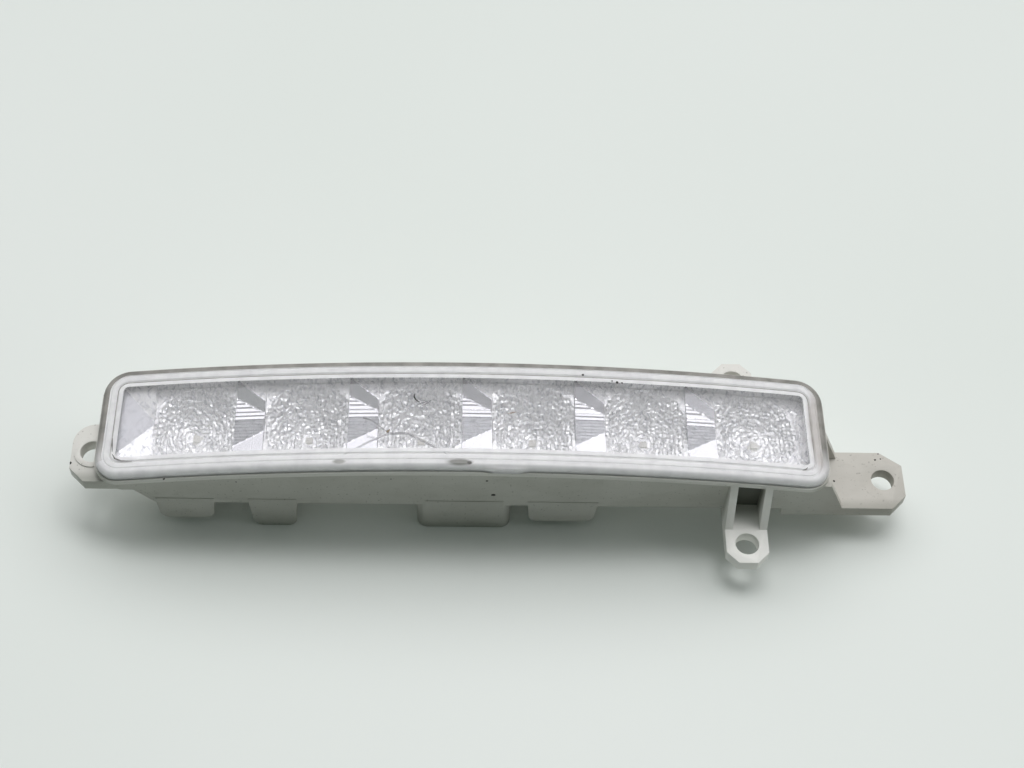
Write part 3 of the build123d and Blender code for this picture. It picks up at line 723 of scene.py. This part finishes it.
# Crack: three branches that run from the chip into the thickness of the lens, two of them down to the rim.
# The broken faces hold a film of air, so each shows as a thin grey band inside the clear plastic.
chip = (-20.4, -6.3)
crack_paths = [
    [chip, (-25.4, -8.8), (-29.4, -11.2), (-33.5, -14.0), (-35.6, -16.4)],
    [chip, (-15.2, -6.4), (-12.5, -8.1), (-8.6, -10.4), (-4.4, -13.4), (-3.2, -15.0)],
    [chip, (-21.7, -5.2), (-23.7, -3.4), (-25.6, -2.0), (-28.0, -1.1)],
]
crack_leans = [-0.2, -0.2, -0.1]
crack_margin = 0.05
crack_depth = 1.5
crack_steps = 6
crack_waver = 0.05
chance = random.Random(7)
points, faces = [], []
for path, lean in zip(crack_paths, crack_leans):
    for (x0, y0), (x1, y1) in zip(path, path[1:]):
        for step in range(crack_steps):
            x = x0 + (x1 - x0) * step / crack_steps + chance.uniform(-crack_waver, crack_waver)
            y = y0 + (y1 - y0) * step / crack_steps + chance.uniform(-crack_waver, crack_waver)
            for drop, shift in ((crack_margin, 0), (crack_depth, lean)):
                points.append(lens_point(x, y + shift, drop))
    start = len(points) - 2 * crack_steps * (len(path) - 1)
    faces += [(n, n + 1, n + 3, n + 2) for n in range(start, len(points) - 2, 2)]
crack = build("lens_crack", points, faces)
smooth_by_angle(crack.data, 60)

# Broken acrylic: the air film mirrors part of the light and lets the rest through.
hackle_width = 0.5 * MM
fracture, tree, shader = surface("fractured_acrylic")
place = put(tree, "TexCoord").outputs["Object"]
hackle = put(tree, "TexNoise", {"Vector": place, "Scale": 1 / hackle_width, "Detail": 3.0})
tone = put(tree, "ValToRGB", {"Fac": hackle.outputs["Fac"]}, [(0.35, "#DAD9DD"), (0.65, "#F2F2F4")])
tree.links.new(tone.outputs["Color"], shader.inputs["Base Color"])
shader.inputs["Roughness"].default_value = 0.25
shader.inputs["Alpha"].default_value = 0.55
dress(crack, "clear_acrylic", fracture)

# Deposits on the lens face: a curl of black fibre with a grey smear beside it, a brown dash and a stain in
# the chip, each dried on as a thin film, matt and gritty, and some let the lens show through. Dark lines in
# the corners of the window, drawn the same way, are painted shadow of the deep gaps there.
deposit_height = 0.02
deposit_grit = 0.3 * MM


def deposit(name, runs, light, dark, alpha):
    """Thin films on the lens face: each run is a width and a path in the lens plan, narrowed at both ends."""
    points, faces = [], []
    for width, path in runs:
        for i, (x, y) in enumerate(path):
            before, after = path[max(i - 1, 0)], path[min(i + 1, len(path) - 1)]
            run_x, run_y = after[0] - before[0], after[1] - before[1]
            half = 0.15 * width if i in (0, len(path) - 1) else 0.5 * width
            for side in (-half, half):
                off_x = x - side * run_y / math.hypot(run_x, run_y)
                off_y = y + side * run_x / math.hypot(run_x, run_y)
                points.append(lens_point(off_x, off_y, -deposit_height))
        start = len(points) - 2 * len(path)
        faces += [(n, n + 1, n + 3, n + 2) for n in range(start, len(points) - 2, 2)]
    piece = build(name, points, faces)
    film, tree, shader = surface(name)
    place = put(tree, "TexCoord").outputs["Object"]
    grit = put(tree, "TexNoise", {"Vector": place, "Scale": 1 / deposit_grit, "Detail": 2.0})
    tone = put(tree, "ValToRGB", {"Fac": grit.outputs["Fac"]}, [(0.35, dark), (0.65, light)])
    tree.links.new(tone.outputs["Color"], shader.inputs["Base Color"])
    shader.inputs["Roughness"].default_value = 0.7
    shader.inputs["Alpha"].default_value = alpha
    dress(piece, "clear_acrylic", film)


deposit("black_fibre", [(0.42, [(-13.8, 5.9), (-14.0, 5.0), (-13.6, 4.2), (-13.1, 3.6), (-12.4, 3.2)])],
        "#2B2A28", "#191917", 1.0)
deposit("grey_smear", [(0.35, [(-13.2, 2.3), (-12.0, 2.9), (-10.8, 3.3), (-9.3, 3.2)]),
                       (0.30, [(-12.6, 1.5), (-11.2, 2.4), (-10.2, 3.0), (-9.2, 3.9)]),
                       (0.25, [(-11.8, 3.9), (-10.9, 3.6), (-10.0, 3.7)])], "#97969A", "#7C7B80", 0.65)
deposit("brown_dash", [(0.45, [(11.2, -0.1), (12.3, 0.1), (13.6, 0.5)])], "#A08C7A", "#7E6C5C", 0.8)
deposit("chip_stain", [(0.9, [(-21.1, -6.5), (-20.7, -6.0), (-20.2, -5.5)])], "#8B7A5E", "#5F523E", 0.85)
# Painted shadow: dark lines in the near corners of the window, where deep gaps lie under the lens.
deposit("window_corner_painted_shadow", [(0.40, [(-94.7, -5.2), (-94.6, -7.2), (-94.3, -9.4)]),
                        (0.45, [(-94.2, -10.2), (-93.4, -11.6), (-91.6, -12.5), (-88.6, -12.8)]),
                        (0.35, [(92.6, -11.9), (92.0, -12.6), (91.0, -13.0)])], "#6F6D69", "#4A4844", 0.75)

# Table: a plain pale board under the lamp, painted, with a faint cloud of a slightly darker tone.
table_pale = "#E6EAE7"
table_shade = "#E2E7E3"
table_reach = 4.0
table_cloud = 0.35
table, tree, shader = surface("pale_table")
place = put(tree, "TexCoord").outputs["Object"]
shade = put(tree, "TexNoise", {"Vector": place, "Scale": 1 / table_cloud, "Detail": 2.0})
tone = put(tree, "ValToRGB", {"Fac": shade.outputs["Fac"]}, [(0.35, table_shade), (0.65, table_pale)])
tree.links.new(tone.outputs["Color"], shader.inputs["Base Color"])
shader.inputs["Roughness"].default_value = 0.5
corners = [(i * table_reach, j * table_reach, 0) for i, j in ((-1, -1), (1, -1), (1, 1), (-1, 1))]
table_top = build("table", corners, [(0, 1, 2, 3)])
table_top.data.materials.append(table)

# Room light: a bright band on the far side and to the right, at half height, a grey ceiling and a dim wall
# behind the camera.
room_strength = 2.1
band_side = (0.30, 0.95, 0.0)
band_edge = (-0.10, 0.25)
world = bpy.data.worlds.new("studio")
world.use_nodes = True
bpy.context.scene.world = world
tree = world.node_tree
direction = put(tree, "TexCoord").outputs["Generated"]
axes = put(tree, "SeparateXYZ", {"Vector": direction})
far_wall = put(tree, "ValToRGB", {"Fac": axes.outputs["Z"]},
               [(0.0, "#6C6E6E"), (0.52, "#7C7D7E"), (0.62, "#FFFFFF"), (0.85, "#FFFFFF"), (0.89, "#6E6F70"),
                (1.0, "#6E6F70")])
near_wall = put(tree, "ValToRGB", {"Fac": axes.outputs["Z"]},
                [(0.0, "#0C1610"), (0.50, "#141F18"), (0.72, "#454E47"), (1.0, "#6E6F70")])
toward_band = put(tree, "VectorMath", {0: direction, 1: band_side}, operation="DOT_PRODUCT")
side = put(tree, "MapRange", {"Value": toward_band.outputs["Value"], "From Min": band_edge[0],
                              "From Max": band_edge[1]})
room = put(tree, "Mix", {"Factor": side.outputs["Result"], "A": near_wall.outputs["Color"],
                         "B": far_wall.outputs["Color"]}, data_type="RGBA")
tree.links.new(room.outputs["Result"], tree.nodes["Background"].inputs["Color"])
tree.nodes["Background"].inputs["Strength"].default_value = room_strength

# Key light: a soft panel high over the lamp, a little to its far side and its right.
key_up = math.radians(75)
key_round = math.radians(20)
key_far = 1.5
key_width = 0.9
key_height = 0.45
key_power = 7.7
key = bpy.data.lights.new("key_panel", "AREA")
key.shape = "RECTANGLE"
key.size = key_width
key.size_y = key_height
key.energy = key_power
key_panel = bpy.data.objects.new("key_panel", key)
key_panel.location = Vector((math.cos(key_up) * math.sin(key_round), math.cos(key_up) * math.cos(key_round),
                             math.sin(key_up))) * key_far
key_panel.rotation_euler = (-key_panel.location).to_track_quat("-Z", "Y").to_euler()
bpy.context.scene.collection.objects.link(key_panel)

# Camera, where the photograph was taken from.
camera_up = math.radians(56.16)
camera_round = math.radians(-3.65)
camera_roll = math.radians(3.80)
camera_far = 476.95 * MM
camera_aim = Vector((4.31, 9.82, 34.4)) * MM
picture_width = 1024
picture_height = 768
focal_pixels = 1750
back = Vector((math.sin(camera_round) * math.cos(camera_up), -math.cos(camera_round) * math.cos(camera_up),
               math.sin(camera_up)))
level = (-back).cross(Vector((0, 0, 1))).normalized()
upright = level.cross(-back)
rightward = level * math.cos(camera_roll) + upright * math.sin(camera_roll)
upward = upright * math.cos(camera_roll) - level * math.sin(camera_roll)
eye = camera_aim + back * camera_far
lens = bpy.data.cameras.new("camera")
lens.sensor_width = 36.0
lens.lens = focal_pixels / picture_width * lens.sensor_width
lens.clip_start = 0.01
camera = bpy.data.objects.new("camera", lens)
camera.matrix_world = Matrix.Translation(eye) @ Matrix((rightward, upward, back)).transposed().to_4x4()
bpy.context.scene.collection.objects.link(camera)
bpy.context.scene.camera = camera
bpy.context.scene.view_settings.view_transform = "Standard"

# Dirt: black specks stuck on the housing and the lens where the photograph shows them, each a small raised
# crumb of dry road dirt, black and matt. A speck is its place in the picture, in pixels, and its width in
# millimetres.
crumb_sides = 9
crumb_rise = 0.16
crumb_uneven = (0.7, 1.2)
crumb_grit = 0.2 * MM
housing_specks = [(493, 495, 1.3), (487, 481, 0.7), (391, 479, 0.5), (164, 479, 0.6), (236, 482, 0.5),
                  (70, 463, 0.9), (875, 460, 0.6), (880.5, 459, 0.5), (878, 454, 0.4), (834, 481, 0.7)]
lens_specks = [(583, 375, 0.7), (593, 378, 0.6), (612, 381, 0.5), (617, 382.5, 0.8), (622, 383, 0.5)]
crumb_black, tree, shader = surface("black_road_dirt")
place = put(tree, "TexCoord").outputs["Object"]
grit = put(tree, "TexNoise", {"Vector": place, "Scale": 1 / crumb_grit, "Detail": 2.0})
tone = put(tree, "ValToRGB", {"Fac": grit.outputs["Fac"]}, [(0.35, "#161613"), (0.65, "#2B2A26")])
tree.links.new(tone.outputs["Color"], shader.inputs["Base Color"])
shader.inputs["Roughness"].default_value = 0.8


def crumbs(name, carrier, specks, slot):
    """Small irregular crumbs on a piece, where the lines of sight through their places meet it."""
    corners = [vertex.co for vertex in carrier.data.vertices]
    skin = BVHTree.FromPolygons(corners, [face.vertices for face in carrier.data.polygons])
    points, faces = [], []
    for across, down, width in specks:
        sight = -back + rightward * ((across - picture_width / 2) / focal_pixels)
        sight = (sight + upward * ((picture_height / 2 - down) / focal_pixels)).normalized()
        spot, normal, _, _ = skin.ray_cast(eye, sight)
        if spot is None:
            continue
        first = normal.orthogonal().normalized()
        second = normal.cross(first)
        start = len(points)
        points.append(spot + normal * (crumb_rise * width * MM))
        for i in range(crumb_sides):
            turn = 2 * math.pi * i / crumb_sides
            reach = width * MM / 2 * chance.uniform(*crumb_uneven)
            points.append(spot + first * (reach * math.cos(turn)) + second * (reach * math.sin(turn)))
        points[start:] = [[min(max(c, low), high) for low, c, high in zip(cad_box[0], point, cad_box[1])]
                          for point in points[start:]]
        faces += [(start, start + 1 + i, start + 1 + (i + 1) % crumb_sides) for i in range(crumb_sides)]
    piece = build(name, points, faces)
    smooth_by_angle(piece.data, 60)
    dress(piece, slot, crumb_black)


crumbs("housing_dirt", housing, housing_specks, "moulded_grey")
crumbs("lens_dirt", outer_lens, lens_specks, "clear_acrylic")
